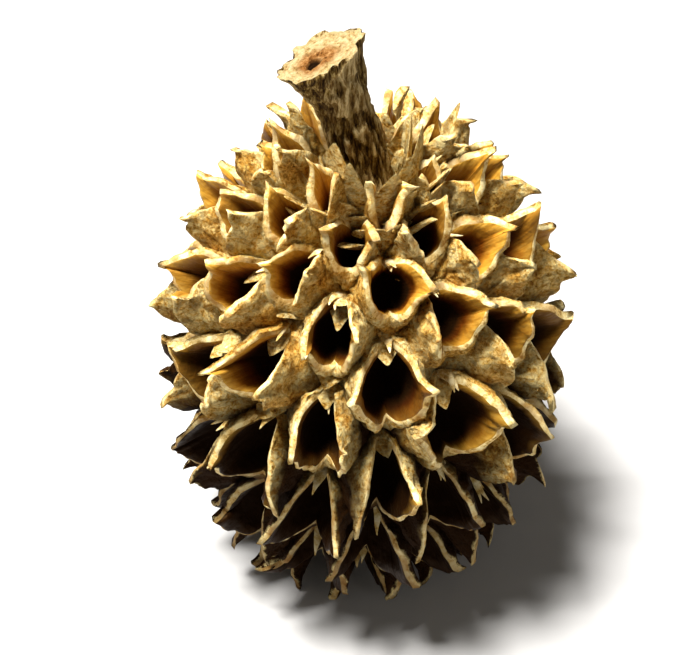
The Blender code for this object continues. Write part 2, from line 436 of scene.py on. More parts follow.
def add(tree, kind, inputs=(), stops=(), output=None, **settings):
    """Adds a node with its settings, colour stops and links, and returns its first output or the one named.

    The inputs are named, or stand in order. Each one is a value or the output of another node.
    """
    node = tree.nodes.new(kind)
    for name, value in settings.items():
        setattr(node, name, value)
    for _ in stops[2:]:
        node.color_ramp.elements.new(1)
    for element, (position, hex_value) in zip(node.color_ramp.elements if stops else (), stops):
        element.position = position
        element.color = colour(hex_value)
    in_use = [socket for socket in node.inputs if socket.enabled]
    for key, value in inputs.items() if isinstance(inputs, dict) else enumerate(inputs):
        socket = node.inputs[key] if isinstance(key, str) else in_use[key]
        if isinstance(value, bpy.types.NodeSocket):
            tree.links.new(value, socket)
        else:
            socket.default_value = value
    return node.outputs[output] if output else next(socket for socket in node.outputs if socket.enabled)


def link_finish(tree, shader, base, normal):
    """Gives the shader its colour and its relief."""
    tree.links.new(base, shader.inputs["Base Color"])
    tree.links.new(normal, shader.inputs["Normal"])


# Dry wood hardly shines, and what it does mirror is browned by its own dust.
DRY_SHINE = 0.20
SHINE_TINT = "#B98A54"


def new_material(name, roughness):
    """A material, its node tree, its shader and the object coordinates."""
    material = bpy.data.materials.new(name)
    material.use_nodes = True
    tree = material.node_tree
    shader = tree.nodes["Principled BSDF"]
    shader.inputs["Roughness"].default_value = roughness
    shader.inputs["Specular IOR Level"].default_value = DRY_SHINE
    shader.inputs["Specular Tint"].default_value = colour(SHINE_TINT)
    return material, tree, shader, add(tree, "ShaderNodeTexCoord", output="Object")


# Painted shade: it fades out between these two heights, and noise makes that line wander.
SHADE_CLOUD = 1 / (4 * MM)
SHADE_UNEVENNESS = 14 * MM
SHADE_HEIGHTS = (14 * MM, 35 * MM)


def painted_shade(tree, place, from_depth, from_below, start):
    """Painted shade, from 0 to 1: it grows into the depths, and towards the apex of the cone."""
    cloud = add(tree, "ShaderNodeTexNoise", {"Vector": place, "Scale": SHADE_CLOUD, "Detail": 3})
    height = add(tree, "ShaderNodeSeparateXYZ", [place], output="Z")
    uneven = add(tree, "ShaderNodeMath", [cloud, SHADE_UNEVENNESS, height], operation="MULTIPLY_ADD")
    below = add(tree, "ShaderNodeMapRange", [uneven, *SHADE_HEIGHTS, 1, 0])
    depth = add(tree, "ShaderNodeAttribute", output="Fac", attribute_name="depth")
    part = add(tree, "ShaderNodeMath", [below, from_below, start], operation="MULTIPLY_ADD")
    return add(tree, "ShaderNodeMath", [depth, from_depth, part], operation="MULTIPLY_ADD", use_clamp=True)


# %% [markdown]
# The outside of the fruits is cork that dried and weathered in the sun. It crumbles, so it is quite matt,
# and the eye sees cream where it is worn, gold where it isn't, and dark brown in its cracks. Noise of a few
# millimetres makes the blotches, noise under a millimetre the mottling and the crumbs, and ridged noise the
# cracks. The crumbs are drawn at 0.3 mm, somewhat coarser than the real dust. Painted shade darkens the
# valleys between the fruits, by the depth layer, and the lower part of the cone towards the apex.

# %% Corky outside of the fruits
BLOTCH = 1 / (2.8 * MM)
MOTTLE = 1 / (0.8 * MM)
CRUMB = 1 / (0.30 * MM)
WRINKLE = 1 / (1.2 * MM)
CRACKLE = 1 / (0.65 * MM)


def weathered_cork():
    material, tree, shader, place = new_material("weathered cork", 0.85)
    blotch = add(tree, "ShaderNodeTexNoise",
                 {"Vector": place, "Scale": BLOTCH, "Detail": 4, "Roughness": 0.6})
    mottle = add(tree, "ShaderNodeTexNoise",
                 {"Vector": place, "Scale": MOTTLE, "Detail": 8, "Roughness": 0.75})
    crumb = add(tree, "ShaderNodeTexNoise",
                {"Vector": place, "Scale": CRUMB, "Detail": 4, "Roughness": 0.7})
    wrinkle = add(tree, "ShaderNodeTexNoise",
                  {"Vector": place, "Scale": WRINKLE, "Detail": 5, "Roughness": 0.6, "Offset": 0.9,
                   "Gain": 1.5},
                  noise_type="RIDGED_MULTIFRACTAL")
    half = add(tree, "ShaderNodeMath", [mottle, 0.45], operation="MULTIPLY")
    speckle = add(tree, "ShaderNodeMath", [crumb, 0.55, half], operation="MULTIPLY_ADD")
    cream = add(tree, "ShaderNodeValToRGB", [speckle],
                [(0.35, "#5E380E"), (0.40, "#B8822E"), (0.45, "#E2B45A"), (0.54, "#F8E09A")])
    gold = add(tree, "ShaderNodeValToRGB", [speckle],
               [(0.35, "#46270A"), (0.42, "#A06A22"), (0.49, "#D29A40"), (0.57, "#F0C66C")])
    tint = add(tree, "ShaderNodeAttribute", output="Fac", attribute_name="tint")
    browner = add(tree, "ShaderNodeMath", [tint, -0.18, blotch], operation="MULTIPLY_ADD")
    patch = add(tree, "ShaderNodeValToRGB", [browner], [(0.46, "#000000"), (0.58, "#FFFFFF")])
    base = add(tree, "ShaderNodeMix", [patch, cream, gold], data_type="RGBA")
    groove = add(tree, "ShaderNodeValToRGB", [wrinkle], [(0.15, "#C0C0C0"), (0.55, "#000000")])
    base = add(tree, "ShaderNodeMix", [groove, base, colour("#5E3A12")], data_type="RGBA")
    swirl = add(tree, "ShaderNodeTexNoise", {"Vector": place, "Scale": MOTTLE, "Detail": 2}, output="Color")
    offset = add(tree, "ShaderNodeVectorMath", [swirl, (0.8 * MM,) * 3], operation="MULTIPLY")
    bent = add(tree, "ShaderNodeVectorMath", [place, offset], operation="ADD")
    plate = add(tree, "ShaderNodeTexVoronoi", {"Vector": bent, "Scale": CRACKLE}, feature="DISTANCE_TO_EDGE")
    crackle = add(tree, "ShaderNodeValToRGB", [plate], [(0.0, "#A0A0A0"), (0.12, "#000000")])
    base = add(tree, "ShaderNodeMix", [crackle, base, colour("#8A5C20")], data_type="RGBA")
    # Painted shade: dark brown in the valleys between the fruits and on the lower part of the cone.
    shade = painted_shade(tree, place, 1.60, 2.60, -0.76)
    base = add(tree, "ShaderNodeMix", [shade, base, colour("#2A1707")], data_type="RGBA")
    rim = add(tree, "ShaderNodeAttribute", output="Fac", attribute_name="rim")
    spared = add(tree, "ShaderNodeMapRange", [mottle, 0.42, 0.54, 0.25, 1.1])
    patchy = add(tree, "ShaderNodeMath", [rim, spared], operation="MULTIPLY")
    worn = add(tree, "ShaderNodeValToRGB", [patchy], [(0.30, "#000000"), (0.95, "#E8E8E8")])
    straw = add(tree, "ShaderNodeValToRGB", [speckle], [(0.36, "#AA7E38"), (0.50, "#F0D894")])
    base = add(tree, "ShaderNodeMix", [worn, base, straw], data_type="RGBA")
    coarse = add(tree, "ShaderNodeBump", {"Distance": 0.20 * MM, "Height": wrinkle})
    medium = add(tree, "ShaderNodeBump", {"Distance": 0.60 * MM, "Height": mottle, "Normal": coarse})
    edges = add(tree, "ShaderNodeMath", [plate, 0.25], operation="MINIMUM")
    plates = add(tree, "ShaderNodeBump", {"Distance": 0.35 * MM, "Height": edges, "Normal": medium})
    fine = add(tree, "ShaderNodeBump", {"Distance": 0.20 * MM, "Height": crumb, "Normal": plates})
    link_finish(tree, shader, base, fine)
    return material


# %% [markdown]
# The edge of a valve is its thinnest part. There the fibres of the wood end bare and wind and rain have worn
# them, which gives the eye a pale, matt line with darker flecks. A narrow band of faces carries it.

# %% Worn edges
def worn_edge():
    material, tree, shader, place = new_material("worn wood edge", 0.75)
    fleck = add(tree, "ShaderNodeTexNoise",
                {"Vector": place, "Scale": MOTTLE, "Detail": 6, "Roughness": 0.75})
    base = add(tree, "ShaderNodeValToRGB", [fleck], [(0.36, "#8C642C"), (0.45, "#DAB86E"), (0.58, "#F6E4AA")])
    spot = add(tree, "ShaderNodeTexNoise", {"Vector": place, "Scale": 1.6 * BLOTCH, "Detail": 3})
    unworn = add(tree, "ShaderNodeValToRGB", [spot], [(0.40, "#D0D0D0"), (0.54, "#000000")])
    base = add(tree, "ShaderNodeMix", [unworn, base, colour("#96682C")], data_type="RGBA")
    # Painted shade: the edges are darker towards the apex of the cone.
    shade = painted_shade(tree, place, 0, 0.90, -0.22)
    base = add(tree, "ShaderNodeMix", [shade, base, colour("#4A321A")], data_type="RGBA")
    bump = add(tree, "ShaderNodeBump", {"Distance": 0.2 * MM, "Height": fleck})
    link_finish(tree, shader, base, bump)
    return material


# %% [markdown]
# The inside of a valve grew against the smooth seed, so it is a polished, satin lining. The eye sees amber
# near the edge, with a soft shine, and dark brown in the pit, which painted shade takes to nearly black;
# painted shade also darkens the linings on the lower part of the cone. Fine streaks run from the pit
# to the edge. They follow the fruit's own UV map, because object coordinates don't bend with a valve.

# %% Satin lining of the valves
STREAKS_ROUND = 60
STREAKS_DOWN = 6


def satin_lining():
    material, tree, shader, place = new_material("satin valve lining", 0.5)
    fruit_uv = add(tree, "ShaderNodeUVMap", uv_map="UVMap")
    stretched = add(tree, "ShaderNodeMapping",
                    {"Vector": fruit_uv, "Scale": (STREAKS_ROUND, STREAKS_DOWN, 1)})
    streak = add(tree, "ShaderNodeTexNoise",
                 {"Vector": stretched, "Scale": 1, "Detail": 3, "Roughness": 0.55})
    cloud = add(tree, "ShaderNodeTexNoise", {"Vector": place, "Scale": 1.8 * BLOTCH, "Detail": 4})
    amber = add(tree, "ShaderNodeValToRGB", [streak],
                [(0.25, "#96681E"), (0.50, "#C49638"), (0.75, "#DEB65A")])
    patch = add(tree, "ShaderNodeValToRGB", [cloud], [(0.45, "#000000"), (0.68, "#C0C0C0")])
    amber = add(tree, "ShaderNodeMix", [patch, amber, colour("#8C5A1C")], data_type="RGBA")
    tint = add(tree, "ShaderNodeAttribute", output="Fac", attribute_name="tint")
    stained = add(tree, "ShaderNodeMapRange", [tint, -0.10, 0.45, 0.0, 0.85])
    amber = add(tree, "ShaderNodeMix", [stained, amber, colour("#5A3410")], data_type="RGBA")
    depth = add(tree, "ShaderNodeAttribute", output="Fac", attribute_name="depth")
    # Darker into the pit: the pit's own darker wood, and painted shade that takes it to nearly black.
    pit_wood_and_shade = add(tree, "ShaderNodeValToRGB", [depth],
                   [(0.0, "#FFFFFF"), (0.20, "#ECD8B8"), (0.42, "#8E6034"), (0.60, "#180C05")])
    base = add(tree, "ShaderNodeMix", [1, amber, pit_wood_and_shade], data_type="RGBA", blend_type="MULTIPLY")
    # Painted shade: nearly black deeper in the pit and on the lower part of the cone.
    shade = painted_shade(tree, place, 1.1, 2.0, -0.20)
    base = add(tree, "ShaderNodeMix", [shade, base, colour("#1C0E04")], data_type="RGBA")
    rim = add(tree, "ShaderNodeAttribute", output="Fac", attribute_name="rim")
    worn = add(tree, "ShaderNodeValToRGB", [rim], [(0.55, "#000000"), (1.0, "#E0E0E0")])
    base = add(tree, "ShaderNodeMix", [worn, base, colour("#D8BC78")], data_type="RGBA")
    coarse = add(tree, "ShaderNodeBump", {"Distance": 0.30 * MM, "Height": cloud})
    fine = add(tree, "ShaderNodeBump", {"Distance": 0.06 * MM, "Height": streak, "Normal": coarse})
    link_finish(tree, shader, base, fine)
    dull = add(tree, "ShaderNodeMapRange", [depth, 0.2, 0.6, 0.42, 1.0])
    tree.links.new(dull, shader.inputs["Roughness"])
    return material


CORK = weathered_cork()
FRUIT_MATERIALS = [CORK, worn_edge(), satin_lining()]     # for the faces marked OUTSIDE, RIM and INSIDE


# %% [markdown]
# A finished piece is an object at the origin with its place in its mesh. It rides on the body of the frame,
# carries its materials, and may stand for a solid, which is then hidden.

# %% Finish a piece
def finish_piece(name, bm, materials, replaces=None, subdivide=0, turn_outwards=True):
    """Makes the object. Shells that cross keep their template's direction, with turn_outwards off."""
    if turn_outwards:
        bmesh.ops.recalc_face_normals(bm, faces=bm.faces)
    mesh = bpy.data.meshes.new(name)
    bm.to_mesh(mesh)
    bm.free()
    mesh.shade_smooth()
    for material in materials:
        mesh.materials.append(material)
    obj = bpy.data.objects.new(name, mesh)
    bpy.context.scene.collection.objects.link(obj)
    if subdivide:
        smooth = obj.modifiers.new("smooth", "SUBSURF")
        smooth.levels = smooth.render_levels = subdivide
    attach(obj, "root")
    if replaces:
        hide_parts(replaces)
    print(name, sum(len(f.vertices) - 2 for f in mesh.polygons) * 4 ** subdivide, "triangles")


# %% [markdown]
# The open fruits fill nine whorls. They are made in three bands, so that no piece is too heavy to export.
# The draws come in the same order as in the solids, so each mouth and each beak is where its solid has it.

# %% Open fruits
chance = random.Random(SEED)
extra = random.Random(SEED + 1)
HALF_OPEN = 0.6
HALF_OPEN_SHARE = {"apex": 0.08, "middle": 0.12, "stalk": 0.3}
SMALL_WHORLS = {WHORLS: (1.0, 1.08), WHORLS + 1: (1.0, 1.25), -1: (0.35, 0.42)}
bands = {"apex": range(0, 3), "middle": range(3, 6), "stalk": range(6, 9)}
band_meshes = {name: new_fruit_bmesh() for name in bands}
small = new_fruit_bmesh()
for whorl in range(-1, WHORLS + 2):
    for turn in range(FRUITS_PER_WHORL):
        p, q = STEPS * whorl, 2 * STEPS * turn + STEPS * whorl
        if whorl in SMALL_WHORLS:
            length = chance.uniform(0.85, 1.1)
            openness, size = SMALL_WHORLS[whorl]
            size *= extra.uniform(0.85, 1.15)
            add_fruit(small, p, q, 1.0, (length, 0.96 * length), 0.0, openness, size)
            continue
        gape = chance.uniform(*GAPES)
        beaks = (chance.uniform(*BEAK_LENGTHS), chance.uniform(*BEAK_LENGTHS))
        shift = chance.uniform(*SHIFTS)
        band = next(name for name in bands if whorl in bands[name])
        openness = HALF_OPEN if extra.random() < HALF_OPEN_SHARE[band] else 1.0
        add_fruit(band_meshes[band], p, q, gape, beaks, shift, openness)
for name, bm in band_meshes.items():
    finish_piece("open_fruits_" + name, bm, FRUIT_MATERIALS, "cone", turn_outwards=False)
finish_piece("small_fruits", small, FRUIT_MATERIALS, "cone", turn_outwards=False)

# %% [markdown]
# Above each mouth, the tips of the bracts that once covered the fruit stand out as one to three pale teeth.
# A tooth is a cone with a few sides, flattened and bent. Its root is sunk in the wood, and it leans over the
# notch. Bract is thin, fibrous wood that dried and bleached in the sun, so the eye sees matt straw with
# darker flecks.

# %% Teeth of the bracts
TOOTH_COUNTS = (1, 2, 2, 3)
TOOTH_ALONG = (0.84, 0.94)
TOOTH_ACROSS = (-0.14, 0.14)
SUNK_REACH = 0.02
TOOTH_LENGTH = 2.3 * MM
TOOTH_SHARES = (0.6, 1.25)
TOOTH_BREADTH = 0.9
TOOTH_SIDES = 10
TOOTH_RADIUS = 0.50 * MM
TOOTH_TIP = 0.03 * MM
TOOTH_CUTS = 3
THICKNESS = 0.5
BOW = 0.4
LEANS = (-0.5, 0.5)
CURLS = (0.6, 1.2)
CUPPING = 8.0 * MM


def bract_material():
    material, tree, shader, place = new_material("pale bract tip", 0.75)
    fleck = add(tree, "ShaderNodeTexNoise", {"Vector": place, "Scale": MOTTLE, "Detail": 5, "Roughness": 0.7})
    base = add(tree, "ShaderNodeValToRGB", [fleck], [(0.30, "#74501F"), (0.44, "#C8A862"), (0.60, "#F2E2B0")])
    # Painted shade: the teeth are darker towards the apex of the cone.
    shade = painted_shade(tree, place, 0, 0.60, -0.10)
    base = add(tree, "ShaderNodeMix", [shade, base, colour("#3A2612")], data_type="RGBA")
    bump = add(tree, "ShaderNodeBump", {"Distance": 0.15 * MM, "Height": fleck})
    link_finish(tree, shader, base, bump)
    return material


def add_tooth(bm, p, q, along, across, reach, length, breadth, outward_lean=0.0):
    """One flattened cone with its root at that place of the fruit at (p, q). A scale is a broad one."""
    root = on_head(p + STEPS * along, q + STEPS * across, reach)
    outward = (on_head(p + STEPS * along, q + STEPS * across, reach + 0.5) - root).normalized()
    to_stalk = (on_head(p + STEPS * along + 0.5, q + STEPS * across, reach) - root).normalized()
    sideways = to_stalk.cross(outward)
    lean = chance.uniform(*LEANS)
    curl = chance.uniform(*CURLS)
    first = len(bm.verts)
    cone = bmesh.ops.create_cone(bm, cap_ends=True, segments=TOOTH_SIDES, radius1=TOOTH_RADIUS,
                                 radius2=TOOTH_TIP, depth=length)["verts"]
    upright = {e for v in cone for e in v.link_edges if abs(e.verts[0].co.z - e.verts[1].co.z) > TOOTH_RADIUS}
    bmesh.ops.subdivide_edges(bm, edges=list(upright), cuts=TOOTH_CUTS)
    bm.verts.ensure_lookup_table()
    for v in bm.verts[first:]:
        up = v.co.z / length + 0.5
        bow = 1 + BOW * math.sin(math.pi * up)
        wide = breadth * v.co.x * bow
        flat = sideways * wide + to_stalk * (THICKNESS * v.co.y * bow + wide * wide / CUPPING)
        bend = sideways * lean * up * up - to_stalk * (0.3 + 0.9 * up + outward_lean) * curl * up
        v.co = root + outward * up * length + flat + bend * MM
        v.co += wobble(v.co, LUMP_SIZE, LUMP_HEIGHT)


teeth = bmesh.new()
for p in range(0, STEPS * WHORLS, STEPS):
    for turn in range(FRUITS_PER_WHORL):
        for tooth in range(chance.choice(TOOTH_COUNTS)):
            along, across = chance.uniform(*TOOTH_ALONG), chance.uniform(*TOOTH_ACROSS)
            length = TOOTH_LENGTH * chance.uniform(*TOOTH_SHARES)
            add_tooth(teeth, p, p + 2 * STEPS * turn, along, across, SUNK_REACH, length, TOOTH_BREADTH)
finish_piece("bract_teeth", teeth, [bract_material()], "cone", subdivide=1,
             turn_outwards=False)

# %% [markdown]
# Round the foot of the stalk the bracts never grew into fruits. They stay as a clutter of pale, pointed
# scales that hides the foot. A scale is the same flattened cone as a tooth, only broader, and the scales are
# placed by the golden angle, as a plant places its leaves, so that none hides the next. A few broad, upright
# valves stand among them, and short scales fill the valleys between the fruits of the stalk half. They are
# as corky as the fruits, and bleached more, so their tint is high.

# %% Scales round the stalk
# Rows say how far above the last whorl the first scale is, and how far up from there the last one is.
SCALES = 64
SCALE_ROWS = (0.1, 1.4)
SCALE_REACHES = (0.0, 0.2)
SCALE_LENGTHS = (2.4 * MM, 5.4 * MM)
SCALE_BREADTHS = (1.8, 4.0)
SCALE_LEANS = (-1.5, 0.9)
GOLDEN_TURN = 2 * FRUITS_PER_WHORL * STEPS * 0.381966
VALVES = 15
VALVE_ROWS = (0.3, 0.9)
VALVE_LENGTHS = (4.2 * MM, 8.4 * MM)
VALVE_BREADTHS = (3.2, 6.0)
VALVE_LEANS = (-4.6, -2.2)
FIRST_VALLEYS = 5
VALLEY_CORNERS = (STEPS, 0.9 * STEPS)
VALLEY_SHIFTS = (-0.25, 0.25)
VALLEY_LENGTHS = (1.2 * MM, 2.4 * MM)
VALLEY_LEANS = (-0.6, 0.9)
FAR_SIDE_SHORTER = 0.45
CROWN_TINT = 0.9


def crown_share(q):
    """How long a scale of the crown is, as a share: those on the far side of the stalk stay shorter."""
    return 1 - FAR_SIDE_SHORTER * max(0.0, math.sin(q * TURN_STEP))


scales = bmesh.new()
crown_tint_of = scales.verts.layers.float.new("tint")
for scale in range(SCALES):
    p = STEPS * (WHORLS + SCALE_ROWS[0] + SCALE_ROWS[1] * scale / SCALES)
    q = scale * GOLDEN_TURN
    reach = chance.uniform(*SCALE_REACHES)
    length = crown_share(q) * chance.uniform(*SCALE_LENGTHS)
    breadth = chance.uniform(*SCALE_BREADTHS)
    add_tooth(scales, p, q, 0, 0, reach, length, breadth, chance.uniform(*SCALE_LEANS))
for valve in range(VALVES):
    p = STEPS * (WHORLS + VALVE_ROWS[0] + VALVE_ROWS[1] * valve / VALVES)
    q = valve * GOLDEN_TURN
    length = crown_share(q) * chance.uniform(*VALVE_LENGTHS)
    breadth = chance.uniform(*VALVE_BREADTHS)
    add_tooth(scales, p, q, 0, 0, 0, length, breadth, chance.uniform(*VALVE_LEANS))
for whorl in range(FIRST_VALLEYS, WHORLS):
    for turn in range(FRUITS_PER_WHORL):
        for corner in VALLEY_CORNERS:
            q = STEPS * (2 * turn + whorl) + corner
            along = chance.uniform(*VALLEY_SHIFTS)
            length = chance.uniform(*VALLEY_LENGTHS)
            breadth = chance.uniform(*SCALE_BREADTHS)
            add_tooth(scales, STEPS * whorl, q, along, 0, SUNK_REACH, length, breadth,
                      chance.uniform(*VALLEY_LEANS))
for v in scales.verts:
    v[crown_tint_of] = CROWN_TINT
finish_piece("crown_scales", scales, [CORK], "cone", subdivide=1, turn_outwards=False)

# %% [markdown]
# Under the fruits is the axis of the head. Hardly any of it shows: the floor of the cracks between the
# fruits, the collar round the stalk and the worn spot that the cone stands on. It is a turned shape, so a
# profile is spun round the Z axis, and noise makes it lumpy everywhere but on the flat spot. The wood is
# bare and unworn, with dust in every hollow, which gives the eye a dull dark brown with paler specks.

# %% Axis of the head
FOOT_RADIUS = 3.2 * MM
NUB = (3.7 * MM, 1.6 * MM)
COLLAR = (2.6 * MM, MID_HEIGHT + 16.1 * MM)
AXIS_REACH = -0.32
SPIN_STEPS = 48
FLAT_SPOT = 0.5 * MM
FLAT_COLLAR = 0.2 * MM
MERGE_DISTANCE = 0.001 * MM


def axis_material():
    material, tree, shader, place = new_material("dusty wood", 0.9)
    fleck = add(tree, "ShaderNodeTexNoise", {"Vector": place, "Scale": MOTTLE, "Detail": 5, "Roughness": 0.7})
    base = add(tree, "ShaderNodeValToRGB", [fleck], [(0.32, "#20120A"), (0.50, "#4E361A"), (0.66, "#907038")])
    bump = add(tree, "ShaderNodeBump", {"Distance": 0.2 * MM, "Height": fleck})
    link_finish(tree, shader, base, bump)
    return material


axis = bmesh.new()
profile = [Vector((0, 0, 0)), Vector((FOOT_RADIUS, 0, 0)), Vector((NUB[0], 0, NUB[1]))]
for p in range(-STEPS, STEPS * (WHORLS + 1)):
    point = on_head(p, 0, AXIS_REACH)
    profile.append(Vector((point.xy.length, 0, point.z)))
profile += [Vector((COLLAR[0], 0, COLLAR[1])), Vector((0, 0, COLLAR[1]))]
line = [axis.verts.new(point) for point in profile]
edges = [axis.edges.new(pair) for pair in zip(line, line[1:])]
bmesh.ops.spin(axis, geom=line + edges, cent=(0, 0, 0), axis=(0, 0, 1), angle=2 * math.pi,
               steps=SPIN_STEPS, use_merge=True, use_duplicate=False)
for v in axis.verts:
    if FLAT_SPOT < v.co.z < COLLAR[1] - FLAT_COLLAR:
        v.co += wobble(v.co, LUMP_SIZE, LUMP_HEIGHT)
bmesh.ops.remove_doubles(axis, verts=axis.verts, dist=MERGE_DISTANCE)
finish_piece("head_axis", axis, [axis_material()], "cone", subdivide=1)

# %% [markdown]
# The stalk is a short twig with scaly bark. It bends to one side and swells into a flared end where it was
# cut. Its outline is a formula: a point is given by how far along the stalk it is, its angle, and how far
# inward from the bark. Long fibres, flakes that lift off and grit are added to that as a height.

# %% Shape of the stalk
STALK_LENGTH = 11.0 * MM
STALK_LEAN = 2.9 * MM
STALK_RADIUS = 1.95 * MM
STALK_BEND = 1.6
STALK_FOOT = 0.35 * MM
FOOT_FADE = 6
CUT_FLARE = 0.95 * MM
FLARE_START = 0.6
CUT_LOBES = 0.22
LOBES_ROUND = 1.1
CUT_TILT = math.tan(math.radians(24))
CUT_TILT_BACK = math.tan(math.radians(8))
TILT_FADE = 2.5
BARK_SINK = 0.24 * MM
FIBRES_ROUND = 4.2
FIBRE_LENGTH = 5.0 * MM
FIBRE_HEIGHT = 0.32 * MM
MEAN_FIBRE = 0.6
FLAKE_SIZE = 0.75 * MM
FLAKE_STRETCH = 0.6
FLAKE_HEIGHT = 0.22 * MM
FLAKE_EDGE = 0.05
FLAKE_TOP = 0.5
GRIT_SIZE = 0.35 * MM
GRIT_HEIGHT = 0.10 * MM


def stalk_point(along, angle, inward=0.0):
    """A point on the bark, or that far inward from it on the cut."""
    flare = max(0.0, (along - FLARE_START) / (1 - FLARE_START)) ** 2
    radius = STALK_RADIUS + STALK_FOOT * (1 - along) ** FOOT_FADE + CUT_FLARE * flare - inward
    lobes = noise.noise(Vector((LOBES_ROUND * math.cos(angle), LOBES_ROUND * math.sin(angle), 2.0)))
    radius *= 1 + CUT_LOBES * lobes * flare
    flat = Vector((radius * math.cos(angle), radius * math.sin(angle), 0))
    flat.z = (flat.x * CUT_TILT - flat.y * CUT_TILT_BACK) * along ** TILT_FADE
    return flat + Vector((-STALK_LEAN * along ** STALK_BEND, 0, STALK_BASE + STALK_LENGTH * along))


def bark_relief(along, angle):
    """Height of the bark: long fibres, flakes that lift off between cracks, and grit."""
    ring = Vector((math.cos(angle), math.sin(angle), 0))
    fibre = ridge(ring * FIBRES_ROUND + Vector((0, 0, STALK_LENGTH * along / FIBRE_LENGTH)))
    place = ring * STALK_RADIUS + Vector((0, 0, FLAKE_STRETCH * STALK_LENGTH * along))
    flake = noise.noise(place / FLAKE_SIZE + Vector((9, 0, 0)))
    grit = noise.noise(place / GRIT_SIZE)
    lifted = FLAKE_TOP if flake > FLAKE_EDGE else flake
    return FIBRE_HEIGHT * (fibre - MEAN_FIBRE) + FLAKE_HEIGHT * lifted + GRIT_HEIGHT * grit - BARK_SINK


# %% [markdown]
# Bark split lengthwise as the twig swelled, and its dead outer layer weathers off in strips. The eye sees
# matt olive brown, darker in the cracks and paler where a strip has lifted; painted shade makes the cracks
# nearly black, and painted highlight makes the raised strips paler still. The cut is end grain torn by a
# blunt blade: pale and rough, with faint growth rings and an orange-brown pith, whose sunk hole is painted
# nearly black as shade. Both follow layers of the mesh, the height of the bark and the way inward on the
# cut. The fibres are drawn 0.3 mm wide, coarser than real ones.

# %% Bark and cut end
FIBRE = 1 / (0.32 * MM)
UPRIGHT = (1, 1, 0.15)
GRAIN = 1 / (0.45 * MM)
RING_RADIANS = 55     # nearly nine growth rings from the bark to the pith


def bark_material():
    material, tree, shader, place = new_material("scaly bark", 0.9)
    upright = add(tree, "ShaderNodeMapping", {"Vector": place, "Scale": UPRIGHT})
    fibre = add(tree, "ShaderNodeTexNoise",
                {"Vector": upright, "Scale": FIBRE, "Detail": 6, "Roughness": 0.75})
    fleck = add(tree, "ShaderNodeTexNoise", {"Vector": place, "Scale": CRUMB, "Detail": 4, "Roughness": 0.7})
    height = add(tree, "ShaderNodeAttribute", output="Fac", attribute_name="height")
    olive = add(tree, "ShaderNodeValToRGB", [fibre],
                [(0.40, "#140A04"), (0.46, "#3E2A12"), (0.54, "#735828"), (0.64, "#C4A86A")])
    pale = add(tree, "ShaderNodeValToRGB", [fibre], [(0.38, "#543C1A"), (0.47, "#947440"), (0.58, "#DCC48C")])
    # Paler on raised strips: partly their own weathered colour, partly painted highlight.
    lifted_and_highlit = add(tree, "ShaderNodeValToRGB", [height], [(0.45, "#000000"), (0.75, "#FFFFFF")])
    base = add(tree, "ShaderNodeMix", [lifted_and_highlit, olive, pale], data_type="RGBA")
    # Nearly black in the cracks: partly the bark's own darker colour, partly painted shade.
    dark_cracks_and_shade = add(tree, "ShaderNodeValToRGB", [height], [(0.10, "#A0A0A0"), (0.32, "#000000")])
    base = add(tree, "ShaderNodeMix", [dark_cracks_and_shade, base, colour("#201208")], data_type="RGBA")
    coarse = add(tree, "ShaderNodeBump", {"Distance": 0.40 * MM, "Height": fibre})
    fine = add(tree, "ShaderNodeBump", {"Distance": 0.15 * MM, "Height": fleck, "Normal": coarse})
    link_finish(tree, shader, base, fine)
    return material


def cut_material():
    material, tree, shader, place = new_material("cut end grain", 0.8)
    grain = add(tree, "ShaderNodeTexNoise", {"Vector": place, "Scale": GRAIN, "Detail": 6, "Roughness": 0.75})
    inward = add(tree, "ShaderNodeAttribute", output="Fac", attribute_name="inward")
    wavy = add(tree, "ShaderNodeMath", [grain, 0.35, inward], operation="MULTIPLY_ADD")
    turns = add(tree, "ShaderNodeMath", [wavy, RING_RADIANS], operation="MULTIPLY")
    rings = add(tree, "ShaderNodeMath", [turns], operation="SINE")
    base = add(tree, "ShaderNodeValToRGB", [grain], [(0.36, "#8A6232"), (0.44, "#CCA868"), (0.58, "#ECD6A0")])
    faint = add(tree, "ShaderNodeValToRGB", [rings], [(0.2, "#000000"), (1.0, "#A0A0A0")])
    base = add(tree, "ShaderNodeMix", [faint, base, colour("#8A6030")], data_type="RGBA")
    pith = add(tree, "ShaderNodeValToRGB", [wavy], [(0.62, "#000000"), (0.80, "#FFFFFF")])
    brown = add(tree, "ShaderNodeValToRGB", [grain],
                [(0.38, "#5A3414"), (0.50, "#A87038"), (0.65, "#D8AC70")])
    base = add(tree, "ShaderNodeMix", [pith, base, brown], data_type="RGBA")
    outer = add(tree, "ShaderNodeValToRGB", [inward], [(0.04, "#C0C0C0"), (0.16, "#000000")])
    base = add(tree, "ShaderNodeMix", [outer, base, colour("#E2CC92")], data_type="RGBA")
    # Painted shade: the sunk hole of the pith is nearly black.
    pith_hole_shade = add(tree, "ShaderNodeValToRGB", [inward], [(0.80, "#000000"), (0.88, "#FFFFFF")])
    base = add(tree, "ShaderNodeMix", [pith_hole_shade, base, colour("#1A0E06")], data_type="RGBA")
    bump = add(tree, "ShaderNodeBump", {"Distance": 0.9 * MM, "Height": grain})
    link_finish(tree, shader, base, bump)
    return material


# %% [markdown]
# A circle is extruded ring by ring up the bend, and on over the cut towards its middle. Each new ring is put
# in place by one function, which also dishes and splinters the cut and sinks the hole of the pith.

